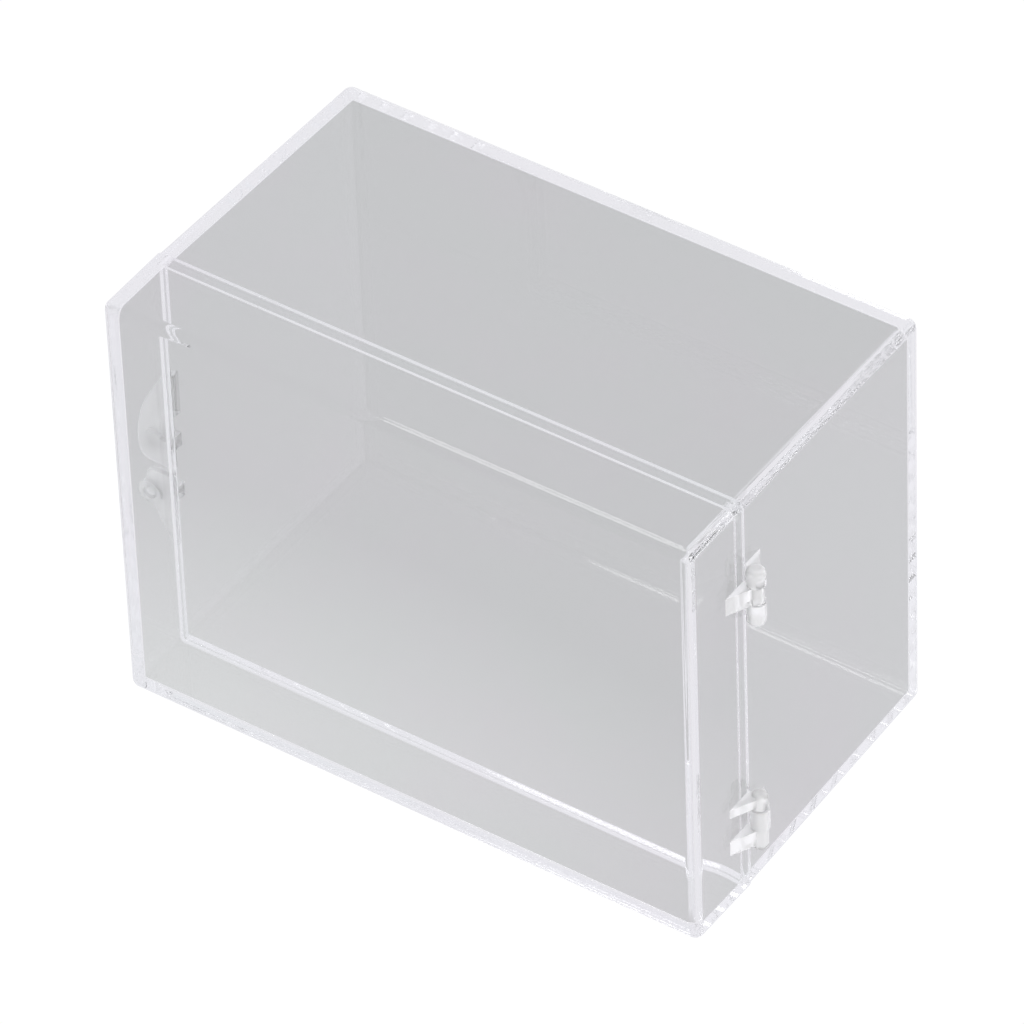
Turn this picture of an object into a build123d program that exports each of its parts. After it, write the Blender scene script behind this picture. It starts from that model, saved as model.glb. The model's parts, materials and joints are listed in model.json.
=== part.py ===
"""Clear hinged card deck box: a deep base tray and a shallow lid tray, both moulded.

The box stands on a long narrow side. +X runs along its width to the hinge side, the lid
faces -Y, +Z is up. The origin is the bottom centre of the bounding box. Millimetres.
"""
import os

from build123d import *

os.makedirs("parts", exist_ok=True)

# overall sizes
LID_WIDTH = 96.0        # along X, at the seam
LID_HEIGHT = 71.4       # along Z, at the seam
LID_DEPTH = 13.0        # front face to seam
BASE_DEPTH = 44.6       # seam to back face
LID_PROUD = 0.15        # step from the lid's walls in to the base's walls at the seam
WALL = 2.0              # side walls of both trays
PANEL = 2.0             # lid's front panel and base's back panel
EDGE_R = 1.5            # outer edges
INNER_R = 0.5           # inner edges
BASE_TAPER = 0.9        # moulding draft of the base's walls, degrees
LID_TAPER = 0.2         # moulding draft of the lid's walls, degrees

# seam and locating lip
SEAM_GAP = 0.1          # between the two rims when shut
LIP_INSET = 1.1         # base's outer face to the lip's outer face
LIP_LENGTH = 1.45       # how far the lip stands into the lid
LIP_FIT = 0.15          # lip to the lid's rebate, all round and at its end

# hinges, on the +X side with a vertical axis in the seam plane
LUG_R = 1.45            # barrels on the base
ARM_R = 1.2             # barrels on the lid
WALL_CLEAR = 0.2        # base barrel to the wall it stands beside
KNUCKLE_GAP = 0.15      # between stacked knuckles
UPPER_HINGE_Z = 56.15   # middle of the upper hinge's centre knuckle
UPPER_CENTRE_H = 3.1    # joint to joint
UPPER_BELOW_H = 4.0     # joint to lower end
UPPER_ABOVE_H = 2.7     # joint to upper end
LOWER_HINGE_Z = 14.8
LOWER_CENTRE_H = 3.6
LOWER_BELOW_H = 4.0
LOWER_ABOVE_H = 2.8
ARM_ROOT = 6.0          # lid arms, along the wall from the seam
LUG_ROOT = 4.7          # base lugs, along the wall from the seam
WEDGE_REACH = 2.3       # a wedge's outer face, from the wall, where it meets the barrel
LUG_TRIM = 0.3          # a lug's wedge stops short of both ends of its barrel
OUTER_ARM_TRIM = 1.3    # the lower outer arm's wedge, short of the domed end
INNER_ARM_TRIM = 0.6    # the lower inner arm's wedge, short of both ends
DOME_R = 0.9            # rounded ends of a hinge
PIN_R = 0.6
PIN_FIT = 0.07          # radial running clearance
PIN_LENGTH = 1.2        # how far each stub pin enters the middle knuckle

# snap latch and thumb tabs, on the -X side; the outward sizes start at the lid's wall
TAB_THICK = 0.7
TAB_REACH = 5.9         # rim of the base's D-shaped tab
TAB_LOW = 32.4          # its flat lower end
TAB_FLAT = 3.8          # how far out that end is flat
TAB_WIDEST = 35.8       # height where it reaches furthest
TAB_TOP = 51.0          # its pointed upper end
RIB_REACH = 2.2         # thick root of that tab
RIB_LOW = 41.6
RIB_HIGH = 49.6
RIB_THICK = 1.5
FIN_LOW = 17.4          # pointed lower end of the lid's fin
FIN_SHOULDER = 26.4     # height where the fin's slope ends
FIN_REACH = 4.15
FIN_TOP = 31.6
UPPER_STUD_OUT = 2.9    # axis of the upper snap
UPPER_STUD_Z = 36.8
LOWER_STUD_OUT = 3.5
LOWER_STUD_Z = 27.6
BOSS_R = 1.9
UPPER_BOSS_FRONT = 0.8  # lid's boss, in front of the seam
LOWER_BOSS_FRONT = 1.3  # lid's ring, in front of the seam
BOSS_BACK = 2.1         # base's bosses, behind the seam
PEG_R = 1.0
UPPER_PEG = 1.4         # length past the seam plane
LOWER_PEG = 1.0
PEG_FIT = 0.1           # radial, a light snap
WEB_H = 2.4             # web that ties a boss to its wall
ROOT_DEPTH = 1.0        # how far a moulded-on piece is drawn into its wall before trimming

# derived places
HINGE_REACH = 2 * LUG_R + WALL_CLEAR
BODY_X = (TAB_REACH - HINGE_REACH) / 2
DEPTH = LID_DEPTH + BASE_DEPTH
SEAM_Y = -DEPTH / 2 + LID_DEPTH
MID_Z = LID_HEIGHT / 2
BASE_WIDTH = LID_WIDTH - 2 * LID_PROUD
BASE_HEIGHT = LID_HEIGHT - 2 * LID_PROUD
LID_RIGHT = BODY_X + LID_WIDTH / 2
LID_LEFT = BODY_X - LID_WIDTH / 2
AXIS_X = LID_RIGHT + WALL_CLEAR + LUG_R
FRONT_OF_SEAM = SEAM_Y - SEAM_GAP / 2
BACK_OF_SEAM = SEAM_Y + SEAM_GAP / 2
UPPER_STUD = (LID_LEFT - UPPER_STUD_OUT, UPPER_STUD_Z)
LOWER_STUD = (LID_LEFT - LOWER_STUD_OUT, LOWER_STUD_Z)

# planes facing out of the seam, forwards for the lid and backwards for the base
lid_plane = Plane(origin=(BODY_X, FRONT_OF_SEAM, MID_Z), x_dir=(1, 0, 0), z_dir=(0, -1, 0))
base_plane = Plane(origin=(BODY_X, BACK_OF_SEAM, MID_Z), x_dir=(1, 0, 0), z_dir=(0, 1, 0))


def save(piece, label):
    piece.part.label = label
    export_step(piece.part, f"parts/{label}.step")


def tray_block(plane, width, height, depth, taper, radius):
    """A drafted block with rounded long edges and a rounded far face."""
    with BuildPart() as block:
        with BuildSketch(plane):
            Rectangle(width, height)
        extrude(amount=depth, taper=taper)
        near = block.faces().sort_by(Axis.Y)[-1 if plane.z_dir.Y < 0 else 0]
        fillet(block.edges() - near.edges(), radius)
    return block


# base tray
base_block = tray_block(base_plane, BASE_WIDTH, BASE_HEIGHT,
                        BASE_DEPTH - SEAM_GAP / 2, BASE_TAPER, EDGE_R)
base_pocket = tray_block(base_plane, BASE_WIDTH - 2 * WALL, BASE_HEIGHT - 2 * WALL,
                         BASE_DEPTH - SEAM_GAP / 2 - PANEL, BASE_TAPER, INNER_R)
with BuildPart() as base_tray:
    add(base_block.part)
    add(base_pocket.part, mode=Mode.SUBTRACT)
save(base_tray, "base_tray")

# locating lip: a thin ring on the inner half of the base's rim
with BuildPart() as base_lip:
    with BuildSketch(base_plane):
        RectangleRounded(BASE_WIDTH - 2 * LIP_INSET, BASE_HEIGHT - 2 * LIP_INSET,
                         INNER_R + WALL - LIP_INSET)
        RectangleRounded(BASE_WIDTH - 2 * WALL, BASE_HEIGHT - 2 * WALL, INNER_R,
                         mode=Mode.SUBTRACT)
    extrude(amount=-(LIP_LENGTH + SEAM_GAP / 2))
save(base_lip, "base_locating_lip")

# lid tray, with a rebate that takes the lip
lid_block = tray_block(lid_plane, LID_WIDTH, LID_HEIGHT,
                       LID_DEPTH - SEAM_GAP / 2, LID_TAPER, EDGE_R)
lid_pocket = tray_block(lid_plane, LID_WIDTH - 2 * WALL, LID_HEIGHT - 2 * WALL,
                        LID_DEPTH - SEAM_GAP / 2 - PANEL, LID_TAPER, INNER_R)
REBATE = 2 * (LID_PROUD + LIP_INSET - LIP_FIT)
with BuildPart() as lid_tray:
    add(lid_block.part)
    add(lid_pocket.part, mode=Mode.SUBTRACT)
    with BuildSketch(lid_plane):
        RectangleRounded(LID_WIDTH - REBATE, LID_HEIGHT - REBATE,
                         INNER_R + WALL - LIP_INSET + LIP_FIT)
    extrude(amount=LIP_LENGTH - SEAM_GAP / 2 + LIP_FIT, mode=Mode.SUBTRACT)
save(lid_tray, "lid_tray")


def knuckle(low, high, radius, side, root, trims, tray, bore=0.0, dome=0):
    """One hinge knuckle: a round barrel on the axis and a wedge that ties it to its tray.

    side is -1 for an arm on the lid and +1 for a lug on the base. The wedge stops short
    of the barrel's lower and upper end by the two trims. dome rounds one end: +1 the
    upper, -1 the lower.
    """
    wall_x = LID_RIGHT if side < 0 else LID_RIGHT - LID_PROUD
    seam = SEAM_Y + side * SEAM_GAP / 2
    with BuildPart() as piece:
        with BuildSketch(Plane.XY.offset(low)):
            with Locations((AXIS_X, SEAM_Y)):
                Circle(radius)
        extrude(amount=high - low)
        if dome:
            fillet(piece.faces().sort_by(Axis.Z)[-1 if dome > 0 else 0].edges(), DOME_R)
        with BuildSketch(Plane.XY.offset(low + trims[0])):
            Polygon((wall_x, SEAM_Y + side * root), (wall_x + WEDGE_REACH, seam),
                    (wall_x - ROOT_DEPTH, seam),
                    (wall_x - ROOT_DEPTH, SEAM_Y + side * root), align=None)
        extrude(amount=high - low - sum(trims))
        add(tray.part, mode=Mode.SUBTRACT)
        if bore:
            with Locations((AXIS_X, SEAM_Y, (low + high) / 2)):
                Hole(bore, depth=high - low)
    return piece


def stub_pin(face_z, up):
    """A short pin with a chamfered tip that stands on an end knuckle."""
    with BuildPart() as pin:
        with BuildSketch(Plane.XY.offset(face_z)):
            with Locations((AXIS_X, SEAM_Y)):
                Circle(PIN_R)
        extrude(amount=(KNUCKLE_GAP + PIN_LENGTH) * up)
        tip = pin.faces().sort_by(Axis.Z)[-1 if up > 0 else 0]
        chamfer(tip.edges(), PIN_R / 3)
    return pin


# knuckles of each hinge from its lower end up: height, tray, place in the name, trims;
# the base holds the upper hinge's ends and the lid holds the lower hinge's ends
TRAYS = {"lid": ("lid_arm", ARM_R, -1, ARM_ROOT, lid_tray),
         "base": ("base_lug", LUG_R, 1, LUG_ROOT, base_tray)}
HINGES = {
    "upper": (UPPER_HINGE_Z - UPPER_CENTRE_H / 2 - UPPER_BELOW_H, (
        (UPPER_BELOW_H, "base", "_inner", (LUG_TRIM, LUG_TRIM)),
        (UPPER_CENTRE_H, "lid", "", (0, 0)),
        (UPPER_ABOVE_H, "base", "_outer", (LUG_TRIM, LUG_TRIM)))),
    "lower": (LOWER_HINGE_Z - LOWER_CENTRE_H / 2 - LOWER_BELOW_H, (
        (LOWER_BELOW_H, "lid", "_outer", (OUTER_ARM_TRIM, 0)),
        (LOWER_CENTRE_H, "base", "", (LUG_TRIM, LUG_TRIM)),
        (LOWER_ABOVE_H, "lid", "_inner", (INNER_ARM_TRIM, INNER_ARM_TRIM)))),
}
for where, (level, knuckles) in HINGES.items():
    for dome, (height, owner, place, trims) in zip((-1, 0, 1), knuckles):
        low = level + (KNUCKLE_GAP / 2 if dome >= 0 else 0)
        high = level + height - (KNUCKLE_GAP / 2 if dome <= 0 else 0)
        noun, radius, side, root, tray = TRAYS[owner]
        bore = 0 if dome else PIN_R + PIN_FIT
        save(knuckle(low, high, radius, side, root, trims, tray, bore, dome),
             f"{where}_{noun}{place}")
        if dome:
            save(stub_pin(high if dome < 0 else low, -dome), f"{where}_hinge_pin{place}")
        level += height


def boss(stud, y_from, y_to, tray, web=True, bore_to=None):
    """A round boss along Y, by default on a web that ties it to its tray.

    bore_to is where a peg hole that starts at y_from ends.
    """
    with BuildPart() as piece:
        with BuildSketch(Plane.XZ.offset(-y_to)):
            with Locations(stud):
                Circle(BOSS_R)
            if web:
                with Locations(((stud[0] + LID_LEFT + ROOT_DEPTH) / 2, stud[1])):
                    Rectangle(LID_LEFT + ROOT_DEPTH - stud[0], WEB_H)
        extrude(amount=y_to - y_from)
        add(tray.part, mode=Mode.SUBTRACT)
        if bore_to is not None:
            with BuildSketch(Plane.XZ.offset(-y_from)):
                with Locations(stud):
                    Circle(PEG_R + PEG_FIT)
            extrude(amount=y_from - bore_to, mode=Mode.SUBTRACT)
    return piece


def peg(stud, y_from, y_to):
    """A peg along Y with a chamfered free end at y_to."""
    with BuildPart() as piece:
        with BuildSketch(Plane.XZ.offset(-y_from)):
            with Locations(stud):
                Circle(PEG_R)
        extrude(amount=y_from - y_to)
        tip = piece.faces().sort_by(Axis.Y)[-1 if y_to > y_from else 0]
        chamfer(tip.edges(), PEG_R / 3)
    return piece


# base thumb tab: a thin D-shaped plate behind the seam, pointed at its upper end
rim_x = LID_LEFT - TAB_REACH
root_x = LID_LEFT + ROOT_DEPTH
with BuildPart() as base_tab:
    with BuildSketch(Plane.XZ.offset(-BACK_OF_SEAM)):
        with BuildLine():
            Polyline((LID_LEFT, TAB_TOP), (root_x, TAB_TOP), (root_x, TAB_LOW),
                     (LID_LEFT - TAB_FLAT, TAB_LOW))
            Spline((LID_LEFT - TAB_FLAT, TAB_LOW), (rim_x, TAB_WIDEST),
                   tangents=((-1, 0), (0, 1)))
            Spline((rim_x, TAB_WIDEST), (LID_LEFT, TAB_TOP), tangents=((0, 1), (0.5, 1)))
        make_face()
        with Locations(UPPER_STUD):
            Circle(PEG_R + PEG_FIT, mode=Mode.SUBTRACT)
    extrude(amount=-TAB_THICK)
    add(base_tray.part, mode=Mode.SUBTRACT)
save(base_tab, "base_thumb_tab")

# thick root of that tab, sloped at its upper end
with BuildPart() as tab_rib:
    with BuildSketch(Plane.XZ.offset(-BACK_OF_SEAM - TAB_THICK)):
        Polygon((root_x, RIB_LOW), (LID_LEFT - RIB_REACH, RIB_LOW),
                (LID_LEFT - RIB_REACH, RIB_HIGH - RIB_REACH), (LID_LEFT, RIB_HIGH),
                (root_x, RIB_HIGH), align=None)
    extrude(amount=-RIB_THICK)
    add(base_tray.part, mode=Mode.SUBTRACT)
save(tab_rib, "base_tab_root_rib")

# lid thumb tab: a thin fin in front of the seam, pointed at its lower end
with BuildPart() as lid_tab:
    with BuildSketch(Plane.XZ.offset(-FRONT_OF_SEAM)):
        Polygon((LID_LEFT, FIN_LOW), (LID_LEFT - FIN_REACH, FIN_SHOULDER),
                (LID_LEFT - FIN_REACH, FIN_TOP - TAB_THICK),
                (LID_LEFT - FIN_REACH + TAB_THICK, FIN_TOP),
                (root_x, FIN_TOP), (root_x, FIN_LOW), align=None)
        with Locations(LOWER_STUD):
            Circle(PEG_R + PEG_FIT, mode=Mode.SUBTRACT)
    extrude(amount=TAB_THICK)
    add(lid_tray.part, mode=Mode.SUBTRACT)
save(lid_tab, "lid_thumb_tab")

# upper snap: boss and peg on the lid, blind socket behind the base's tab
save(boss(UPPER_STUD, SEAM_Y - UPPER_BOSS_FRONT, FRONT_OF_SEAM, lid_tray), "lid_stud_boss")
save(peg(UPPER_STUD, FRONT_OF_SEAM, SEAM_Y + UPPER_PEG), "lid_stud_peg")
save(boss(UPPER_STUD, BACK_OF_SEAM + TAB_THICK, SEAM_Y + BOSS_BACK, base_tray,
          bore_to=SEAM_Y + UPPER_PEG + PEG_FIT), "base_stud_socket")

# lower snap: boss and peg on the base, open ring in front of the lid's fin
save(boss(LOWER_STUD, BACK_OF_SEAM, SEAM_Y + BOSS_BACK, base_tray), "base_stud_boss")
save(peg(LOWER_STUD, BACK_OF_SEAM, SEAM_Y - LOWER_PEG), "base_stud_peg")
save(boss(LOWER_STUD, SEAM_Y - LOWER_BOSS_FRONT, FRONT_OF_SEAM - TAB_THICK, lid_tray, web=False,
          bore_to=FRONT_OF_SEAM - TAB_THICK), "lid_stud_socket")
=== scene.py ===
"""Clear hinged card deck box: its two moulded halves in glass-clear plastic on a pale studio floor."""
import json
import math

import bmesh
import bpy
from mathutils import Matrix, Vector


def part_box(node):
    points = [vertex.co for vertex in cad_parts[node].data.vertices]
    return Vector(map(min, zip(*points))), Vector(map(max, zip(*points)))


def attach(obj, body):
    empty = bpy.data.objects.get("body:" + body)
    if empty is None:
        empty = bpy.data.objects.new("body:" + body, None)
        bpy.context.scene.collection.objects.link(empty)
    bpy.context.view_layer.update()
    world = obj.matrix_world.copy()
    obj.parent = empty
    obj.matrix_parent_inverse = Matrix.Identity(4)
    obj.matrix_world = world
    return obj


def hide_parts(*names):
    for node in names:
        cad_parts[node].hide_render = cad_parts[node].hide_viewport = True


MM = 0.001

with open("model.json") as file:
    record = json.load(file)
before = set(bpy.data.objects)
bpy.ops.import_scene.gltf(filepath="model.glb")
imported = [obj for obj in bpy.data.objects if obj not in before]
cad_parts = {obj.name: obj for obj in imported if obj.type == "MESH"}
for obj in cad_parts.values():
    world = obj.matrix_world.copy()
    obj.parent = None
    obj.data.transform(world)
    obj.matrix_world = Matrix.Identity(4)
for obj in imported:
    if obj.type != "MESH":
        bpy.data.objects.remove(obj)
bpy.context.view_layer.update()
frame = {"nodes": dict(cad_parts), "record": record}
scene = bpy.context.scene
groups = frame["record"]["behaviour"]["bodies"]

# ---------------------------------------------------------------- moulding sizes
SOFT_ANGLE = math.radians(30)      # edges flatter than this shade as one curved surface
FLAT_ANGLE = math.radians(0.3)     # faces nearer than this to one plane become one face
GRID = 1e-7                        # corners are snapped to this grid before they are joined
COPY_WELD = 0.0002 * MM            # one piece's loose triangles are merged at this distance
WELD = 0.001 * MM                  # and the joined skin's corners at this one
ROOT_IN = 0.6 * MM                 # how far a root is drawn into its tray's end wall
ROOT_BACK = 0.03 * MM              # and how far it is moved away from the seam
END_REACH = 0.1 * MM               # a corner this little outside the right end is still a root's
LATCH_REACH = 0.05 * MM            # and so is one this little outside the left end
lid_low, lid_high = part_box("lid_tray")
TRAYS = {"base": "base_tray", "lid": "lid_tray"}
TRAY_PIECES = ("base_tray", "base_locating_lip", "lid_tray")


# ---------------------------------------------------------------- finishes
PLASTIC_IOR = 1.52
SCUFFED = 0.12                     # roughness inside a scratch or a speck


def shader_group(name, inputs, outputs):
    """A new shader node group with its named sockets; gives the tree and its two ends."""
    tree = bpy.data.node_groups.new(name, "ShaderNodeTree")
    for kind, title, value in inputs:
        socket = tree.interface.new_socket(title, in_out="INPUT", socket_type=kind)
        if value is not None:
            socket.default_value = value
    for kind, title in outputs:
        tree.interface.new_socket(title, in_out="OUTPUT", socket_type=kind)
    return tree, tree.nodes.new("NodeGroupInput"), tree.nodes.new("NodeGroupOutput")


def node(tree, kind, values=(), **settings):
    made = tree.nodes.new("ShaderNode" + kind)
    for key, value in settings.items():
        setattr(made, key, value)
    for key, value in dict(values).items():
        made.inputs[key].default_value = value
    return made


def handling_marks_group():
    """Fine hair scratches, specks of dust and a faint haze, as masks and a height."""
    tree, start, end = shader_group("handling_marks", (
        ("NodeSocketVector", "Position", None),
        ("NodeSocketFloat", "Scratch Scale", 60.0),
        ("NodeSocketFloat", "Speck Scale", 420.0),
        ("NodeSocketFloat", "Haze Scale", 35.0)),
        (("NodeSocketFloat", "Scratches"), ("NodeSocketFloat", "Specks"),
         ("NodeSocketFloat", "Haze")))
    link = tree.links.new

    # hair scratches: thin bands of a stretched noise, in two directions
    masks = []
    for turn, squeeze in (((0.3, 0.5, 0.4), (1.0, 14.0, 9.0)), ((1.1, -0.4, 1.3), (9.0, 1.0, 14.0))):
        place = node(tree, "Mapping", {"Rotation": turn, "Scale": squeeze})
        link(start.outputs["Position"], place.inputs["Vector"])
        noise = node(tree, "TexNoise", {"Detail": 2.0, "Roughness": 0.4})
        link(place.outputs["Vector"], noise.inputs["Vector"])
        link(start.outputs["Scratch Scale"], noise.inputs["Scale"])
        offset = node(tree, "Math", {1: 0.5}, operation="SUBTRACT")
        link(noise.outputs["Fac"], offset.inputs[0])
        size = node(tree, "Math", operation="ABSOLUTE")
        link(offset.outputs[0], size.inputs[0])
        band = node(tree, "MapRange", {"From Min": 0.0, "From Max": 0.006,
                                       "To Min": 1.0, "To Max": 0.0})
        link(size.outputs[0], band.inputs["Value"])
        masks.append(band.outputs["Result"])
    both = node(tree, "Math", operation="MAXIMUM")
    link(masks[0], both.inputs[0])
    link(masks[1], both.inputs[1])
    patch = node(tree, "TexNoise", {"Scale": 55.0, "Detail": 1.0})
    link(start.outputs["Position"], patch.inputs["Vector"])
    where = node(tree, "MapRange", {"From Min": 0.56, "From Max": 0.68})
    link(patch.outputs["Fac"], where.inputs["Value"])
    hair = node(tree, "Math", operation="MULTIPLY", use_clamp=True)
    link(both.outputs[0], hair.inputs[0])
    link(where.outputs["Result"], hair.inputs[1])
    link(hair.outputs[0], end.inputs["Scratches"])

    # dust specks: the hearts of a few cells
    cells = node(tree, "TexVoronoi", {"Randomness": 1.0})
    link(start.outputs["Position"], cells.inputs["Vector"])
    link(start.outputs["Speck Scale"], cells.inputs["Scale"])
    core = node(tree, "MapRange", {"From Min": 0.03, "From Max": 0.075,
                                   "To Min": 1.0, "To Max": 0.0})
    link(cells.outputs["Distance"], core.inputs["Value"])
    few = node(tree, "SeparateColor")
    link(cells.outputs["Color"], few.inputs["Color"])
    rare = node(tree, "Math", {1: 0.93}, operation="GREATER_THAN")
    link(few.outputs["Red"], rare.inputs[0])
    speck = node(tree, "Math", operation="MULTIPLY", use_clamp=True)
    link(core.outputs["Result"], speck.inputs[0])
    link(rare.outputs[0], speck.inputs[1])
    link(speck.outputs[0], end.inputs["Specks"])

    # faint haze where hands have held the box
    cloud = node(tree, "TexNoise", {"Detail": 4.0, "Roughness": 0.6})
    link(start.outputs["Position"], cloud.inputs["Vector"])
    link(start.outputs["Haze Scale"], cloud.inputs["Scale"])
    haze = node(tree, "MapRange", {"From Min": 0.45, "From Max": 0.75})
    link(cloud.outputs["Fac"], haze.inputs["Value"])
    link(haze.outputs["Result"], end.inputs["Haze"])
    return tree


def moulded_skin_group():
    """The skin of a moulding: long soft flow waves and a finer ripple, as one height."""
    tree, start, end = shader_group("moulded_skin", (
        ("NodeSocketVector", "Position", None),
        ("NodeSocketFloat", "Flow Scale", 18.0),
        ("NodeSocketFloat", "Ripple Scale", 160.0),
        ("NodeSocketFloat", "Ripple Share", 0.1)),
        (("NodeSocketFloat", "Height"),))
    link = tree.links.new
    flow = node(tree, "TexNoise", {"Detail": 1.0, "Roughness": 0.3})
    link(start.outputs["Position"], flow.inputs["Vector"])
    link(start.outputs["Flow Scale"], flow.inputs["Scale"])
    ripple = node(tree, "TexNoise", {"Detail": 2.0, "Roughness": 0.5})
    link(start.outputs["Position"], ripple.inputs["Vector"])
    link(start.outputs["Ripple Scale"], ripple.inputs["Scale"])
    mixed = node(tree, "Mix", data_type="FLOAT")
    link(start.outputs["Ripple Share"], mixed.inputs["Factor"])
    link(flow.outputs["Fac"], mixed.inputs["A"])
    link(ripple.outputs["Fac"], mixed.inputs["B"])
    link(mixed.outputs["Result"], end.inputs["Height"])
    return tree


def clear_plastic(name, tint, hazy_tint, smooth, hazy, wave, flow_scale, ripple_share, marks, skin,
                  clearness=1.0):
    """Clear moulded plastic: tinted at each surface, with handling marks and a moulded skin."""
    material = bpy.data.materials.new(name)
    material.use_nodes = True
    tree = material.node_tree
    tree.nodes.clear()
    link = tree.links.new
    out = tree.nodes.new("ShaderNodeOutputMaterial")
    body = node(tree, "BsdfPrincipled", {"IOR": PLASTIC_IOR, "Transmission Weight": clearness,
                                         "Metallic": 0.0})
    link(body.outputs["BSDF"], out.inputs["Surface"])
    place = tree.nodes.new("ShaderNodeTexCoord")

    worn = tree.nodes.new("ShaderNodeGroup")
    worn.node_tree = marks
    link(place.outputs["Object"], worn.inputs["Position"])
    made = tree.nodes.new("ShaderNodeGroup")
    made.node_tree = skin
    made.inputs["Flow Scale"].default_value = flow_scale
    made.inputs["Ripple Share"].default_value = ripple_share
    link(place.outputs["Object"], made.inputs["Position"])

    colour = node(tree, "Mix", {"A": (*tint, 1.0), "B": (*hazy_tint, 1.0)}, data_type="RGBA")
    link(worn.outputs["Haze"], colour.inputs["Factor"])
    link(colour.outputs["Result"], body.inputs["Base Color"])

    scuffs = node(tree, "Math", operation="MAXIMUM")
    link(worn.outputs["Scratches"], scuffs.inputs[0])
    link(worn.outputs["Specks"], scuffs.inputs[1])
    faint = node(tree, "Mix", {"A": smooth, "B": hazy}, data_type="FLOAT")
    link(worn.outputs["Haze"], faint.inputs["Factor"])
    dulled = node(tree, "Mix", {"B": SCUFFED}, data_type="FLOAT")
    link(scuffs.outputs[0], dulled.inputs["Factor"])
    link(faint.outputs["Result"], dulled.inputs["A"])
    link(dulled.outputs["Result"], body.inputs["Roughness"])

    bump = node(tree, "Bump", {"Strength": 1.0, "Distance": wave})
    link(made.outputs["Height"], bump.inputs["Height"])
    link(bump.outputs["Normal"], body.inputs["Normal"])
    return material


marks = handling_marks_group()
skin = moulded_skin_group()
polished = clear_plastic(
    "polished_clear_panels", tint=(0.952, 0.962, 0.958), hazy_tint=(0.964, 0.954, 0.966),
    smooth=0.0, hazy=0.006, wave=0.00001, flow_scale=14.0, ripple_share=0.05,
    marks=marks, skin=skin)
as_moulded = clear_plastic(
    "clear_hinge_and_latch", tint=(0.98, 0.98, 0.985), hazy_tint=(0.97, 0.97, 0.975),
    smooth=0.08, hazy=0.2, wave=0.00005, flow_scale=120.0, ripple_share=0.3,
    marks=marks, skin=skin, clearness=0.68)


# ---------------------------------------------------------------- the two halves
def drawn_in(spot, body):
    """Where a corner of a moulded-on piece goes so that its root sits inside its tray's wall."""
    back = ROOT_BACK if body == "base" else -ROOT_BACK
    if 0 < spot.x < lid_high.x + END_REACH:
        return spot + Vector((-ROOT_IN, back, 0))
    if lid_low.x - LATCH_REACH < spot.x < 0:
        return spot + Vector((ROOT_IN, back, 0))
    return spot


def piece_copy(name, body):
    """A clean closed copy of a piece, with its root drawn a little way into its tray."""
    mesh = bpy.data.meshes.new(name + "_copy")
    shape = bmesh.new()
    shape.from_mesh(frame["nodes"][name].data)
    bmesh.ops.remove_doubles(shape, verts=shape.verts, dist=COPY_WELD)
    for v in shape.verts:
        place = v.co if name in TRAY_PIECES else drawn_in(v.co, body)
        v.co = Vector([round(c / GRID) * GRID for c in place])
    shape.to_mesh(mesh)
    shape.free()
    mesh.materials.append(polished if name in TRAY_PIECES else as_moulded)
    made = bpy.data.objects.new(name + "_copy", mesh)
    scene.collection.objects.link(made)
    return made


def settled(made):
    """The object's shape with its modifiers worked in, and none left on it."""
    bpy.context.view_layer.update()
    mesh = bpy.data.meshes.new_from_object(made.evaluated_get(bpy.context.evaluated_depsgraph_get()))
    made.modifiers.clear()
    return mesh


def moulding(body):
    """One half of the box as the single closed skin that its pieces share."""
    names = [TRAYS[body]] + [n for n in groups[body] if n != TRAYS[body]]
    copies = [piece_copy(n, body) for n in names]
    whole, rest = copies[0], copies[1:]
    whole.data.materials.append(as_moulded)
    for other in rest:
        join = whole.modifiers.new("join", "BOOLEAN")
        join.operation = "UNION"
        join.solver = "MANIFOLD"
        join.object = other
    mesh = settled(whole)
    for c in copies:
        bpy.data.objects.remove(c)
    mesh.name = body + "_half"
    shape = bmesh.new()
    shape.from_mesh(mesh)
    bmesh.ops.remove_doubles(shape, verts=shape.verts, dist=WELD)
    bmesh.ops.dissolve_limit(shape, angle_limit=FLAT_ANGLE, verts=shape.verts,
                             edges=shape.edges, delimit={"MATERIAL"})
    shape.to_mesh(mesh)
    shape.free()
    mesh.shade_smooth()
    mesh.set_sharp_from_angle(angle=SOFT_ANGLE)
    made = bpy.data.objects.new(body + "_half", mesh)
    scene.collection.objects.link(made)
    weigh = made.modifiers.new("weigh", "WEIGHTED_NORMAL")
    weigh.keep_sharp = True
    weigh.mode = "FACE_AREA"
    made.data = settled(made)
    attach(made, body)
    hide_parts(*groups[body])


for half in groups:
    moulding(half)


# ---------------------------------------------------------------- studio
BACKDROP = 1.02                    # the white that is looked at directly
SCATTERED = 1.3                    # what frosted plastic scatters
# painted reflection: the paper glows this bright where the plastic mirrors it
PAPER_PAINTED_REFLECTION = (0.85, 0.84, 0.88)
ROOM_MIRRORED = (0.90, 0.89, 0.94)
PAPER_PAINTED_SHADE_FAR = (0.54, 0.538, 0.548)   # painted shade: the paper's grey as seen through the plastic, away from the painted pool of light
PAPER_PAINTED_SHADE_NEAR = (0.70, 0.70, 0.705)   # and the lighter grey painted in the pool's middle
# where the painted pool of light on the paper is centred and how far it reaches
PAINTED_POOL_MIDDLE = (-35.0 * MM, -25.0 * MM)
PAINTED_POOL_REACH = (120.0 * MM, 40.0 * MM)
PAPER_HALF = 6.0
LIT_SPOT = Vector((0, 0, 30.0 * MM))
PAPER_DROP = 0.05 * MM             # keeps the paper clear of the box's lowest faces
ROOM = ((0.0, (0.58, 0.58, 0.60)), (0.3, (0.72, 0.72, 0.74)), (0.75, (0.85, 0.85, 0.87)))


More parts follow.
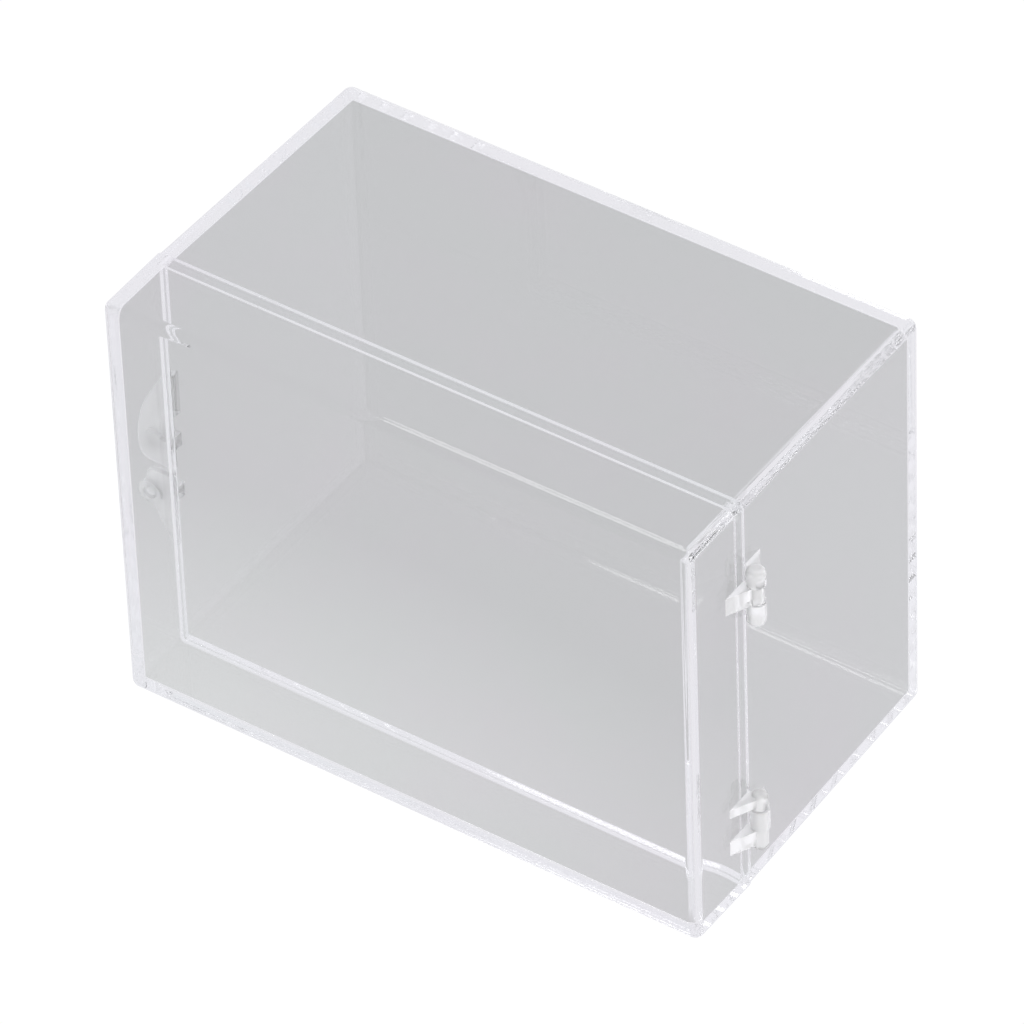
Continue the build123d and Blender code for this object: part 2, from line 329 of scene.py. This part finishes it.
def lit_four_ways(tree, out, seen, through, mirrored, soft):
    """Backdrop light: looked at directly, through the plastic, mirrored in it and scattered by it."""
    path = tree.nodes.new("ShaderNodeLightPath")
    bounced = node(tree, "Math", {1: 0.5}, operation="GREATER_THAN")
    tree.links.new(path.outputs["Glossy Depth"], bounced.inputs[0])
    scattered = node(tree, "Math", {1: 0.5}, operation="GREATER_THAN")
    tree.links.new(path.outputs["Diffuse Depth"], scattered.inputs[0])
    gathered = tree.nodes.new("ShaderNodeMixShader")
    tree.links.new(bounced.outputs[0], gathered.inputs["Fac"])
    tree.links.new(through, gathered.inputs[1])
    tree.links.new(mirrored, gathered.inputs[2])
    around = tree.nodes.new("ShaderNodeMixShader")
    tree.links.new(scattered.outputs[0], around.inputs["Fac"])
    tree.links.new(gathered.outputs["Shader"], around.inputs[1])
    tree.links.new(soft, around.inputs[2])
    mix = tree.nodes.new("ShaderNodeMixShader")
    tree.links.new(path.outputs["Is Camera Ray"], mix.inputs["Fac"])
    tree.links.new(around.outputs["Shader"], mix.inputs[1])
    tree.links.new(seen, mix.inputs[2])
    tree.links.new(mix.outputs["Shader"], out)


def studio_floor():
    """A sheet of pale paper, white when looked at directly, with painted shade and a soft painted pool
    of light where the plastic shows it.
    """
    mesh = bpy.data.meshes.new("studio_floor")
    mesh.from_pydata([(x * PAPER_HALF, y * PAPER_HALF, -PAPER_DROP)
                      for x, y in ((-1, -1), (1, -1), (1, 1), (-1, 1))], [], [(0, 1, 2, 3)])
    floor = bpy.data.objects.new("studio_floor", mesh)
    scene.collection.objects.link(floor)
    paper = bpy.data.materials.new("studio_paper")
    paper.use_nodes = True
    tree = paper.node_tree
    tree.nodes.clear()
    out = tree.nodes.new("ShaderNodeOutputMaterial")
    white = node(tree, "Emission", {"Color": (1, 1, 1, 1), "Strength": BACKDROP})
    # painted shade and a painted pool of light: the paper's grey seen through the plastic, lighter
    # towards the pool's middle
    painted_pool = node(tree, "Emission", {"Strength": 1.0})
    place = tree.nodes.new("ShaderNodeTexCoord")
    centre = node(tree, "Mapping", {
        "Location": (-PAINTED_POOL_MIDDLE[0] / PAINTED_POOL_REACH[0], -PAINTED_POOL_MIDDLE[1] / PAINTED_POOL_REACH[1], 0.0),
        "Scale": (1 / PAINTED_POOL_REACH[0], 1 / PAINTED_POOL_REACH[1], 0.0)})
    reach = node(tree, "TexGradient", gradient_type="SPHERICAL")
    shade = node(tree, "Mix", {"A": (*PAPER_PAINTED_SHADE_FAR, 1), "B": (*PAPER_PAINTED_SHADE_NEAR, 1)}, data_type="RGBA")
    tree.links.new(place.outputs["Object"], centre.inputs["Vector"])
    tree.links.new(centre.outputs["Vector"], reach.inputs["Vector"])
    tree.links.new(reach.outputs["Fac"], shade.inputs["Factor"])
    tree.links.new(shade.outputs["Result"], painted_pool.inputs["Color"])
    # painted reflection: the paper glows brighter for rays the plastic has mirrored
    glow = node(tree, "Emission", {"Color": (*PAPER_PAINTED_REFLECTION, 1), "Strength": 1.0})
    # painted light: the paper glows brighter than its white for rays the frosted plastic scatters
    wash = node(tree, "Emission", {"Color": (1, 1, 1, 1), "Strength": SCATTERED})
    lit_four_ways(tree, out.inputs["Surface"], white.outputs["Emission"],
                  painted_pool.outputs["Emission"], glow.outputs["Emission"], wash.outputs["Emission"])
    mesh.materials.append(paper)


def studio_room():
    """White all round; what the plastic gathers is grey at the horizon and bright overhead."""
    world = bpy.data.worlds.new("studio_room")
    world.use_nodes = True
    tree = world.node_tree
    tree.nodes.clear()
    out = tree.nodes.new("ShaderNodeOutputWorld")
    white = node(tree, "Background", {"Color": (1, 1, 1, 1), "Strength": BACKDROP})
    room = node(tree, "Background", {"Strength": 1.0})
    place = tree.nodes.new("ShaderNodeTexCoord")
    height = tree.nodes.new("ShaderNodeSeparateXYZ")
    rise = tree.nodes.new("ShaderNodeValToRGB")
    tree.links.new(place.outputs["Generated"], height.inputs["Vector"])
    tree.links.new(height.outputs["Z"], rise.inputs["Fac"])
    tree.links.new(rise.outputs["Color"], room.inputs["Color"])
    ramp = rise.color_ramp
    ramp.elements[0].position, ramp.elements[0].color = ROOM[0][0], (*ROOM[0][1], 1)
    ramp.elements[1].position, ramp.elements[1].color = ROOM[-1][0], (*ROOM[-1][1], 1)
    for level, shade in ROOM[1:-1]:
        ramp.elements.new(level).color = (*shade, 1)
    glow = node(tree, "Background", {"Color": (*ROOM_MIRRORED, 1), "Strength": 1.0})
    wash = node(tree, "Background", {"Color": (1, 1, 1, 1), "Strength": SCATTERED})
    lit_four_ways(tree, out.inputs["Surface"], white.outputs["Background"],
                  room.outputs["Background"], glow.outputs["Background"],
                  wash.outputs["Background"])
    scene.world = world


def softbox(name, place, size, power, through):
    """A soft rectangular lamp, turned to the box; `through` says if the plastic shows it."""
    lamp = bpy.data.lights.new(name, "AREA")
    lamp.shape = "RECTANGLE"
    lamp.size, lamp.size_y = size
    lamp.energy = power
    made = bpy.data.objects.new(name, lamp)
    made.location = place
    made.rotation_mode = "QUATERNION"
    made.rotation_quaternion = (LIT_SPOT - Vector(place)).to_track_quat("-Z", "Y")
    made.visible_transmission = through
    scene.collection.objects.link(made)


studio_floor()
studio_room()
softbox("key_softbox", (-0.25, 0.0, 1.0), (0.4, 0.4), 1.8, through=True)
softbox("side_softbox", (0.8, -0.3, 0.35), (0.25, 0.6), 2.0, through=False)


# ---------------------------------------------------------------- camera
LENS = 347.8
SENSOR = 36.0
AZIMUTH, ELEVATION, ROLL = (math.radians(a) for a in (35.852, 42.045, -2.287))
AIM = Vector((0.125, -0.013, 33.742)) * MM
DISTANCE = 1363.5                  # from the spot it aims at, in mm
BOUNCES = 160                      # light runs far along the inside of a clear wall


def camera():
    """A long lens, a little to the right of the lid and well above it."""
    lens = bpy.data.cameras.new("camera")
    lens.sensor_width = SENSOR
    lens.lens = LENS
    lens.clip_start, lens.clip_end = 0.05, 50
    made = bpy.data.objects.new("camera", lens)
    level = math.cos(ELEVATION)
    back = Vector((math.sin(AZIMUTH) * level, -math.cos(AZIMUTH) * level, math.sin(ELEVATION)))
    right = Vector((math.cos(AZIMUTH), math.sin(AZIMUTH), 0))
    up = back.cross(right)
    across = right * math.cos(ROLL) + up * math.sin(ROLL)
    upward = up * math.cos(ROLL) - right * math.sin(ROLL)
    turn = Matrix((across, upward, back)).transposed().to_4x4()
    made.matrix_world = Matrix.Translation(AIM + back * DISTANCE * MM) @ turn
    scene.collection.objects.link(made)
    scene.camera = made


camera()
scene.view_settings.view_transform = "Standard"
scene.cycles.max_bounces = BOUNCES
scene.cycles.transmission_bounces = BOUNCES
scene.cycles.glossy_bounces = BOUNCES
scene.cycles.transparent_max_bounces = 40
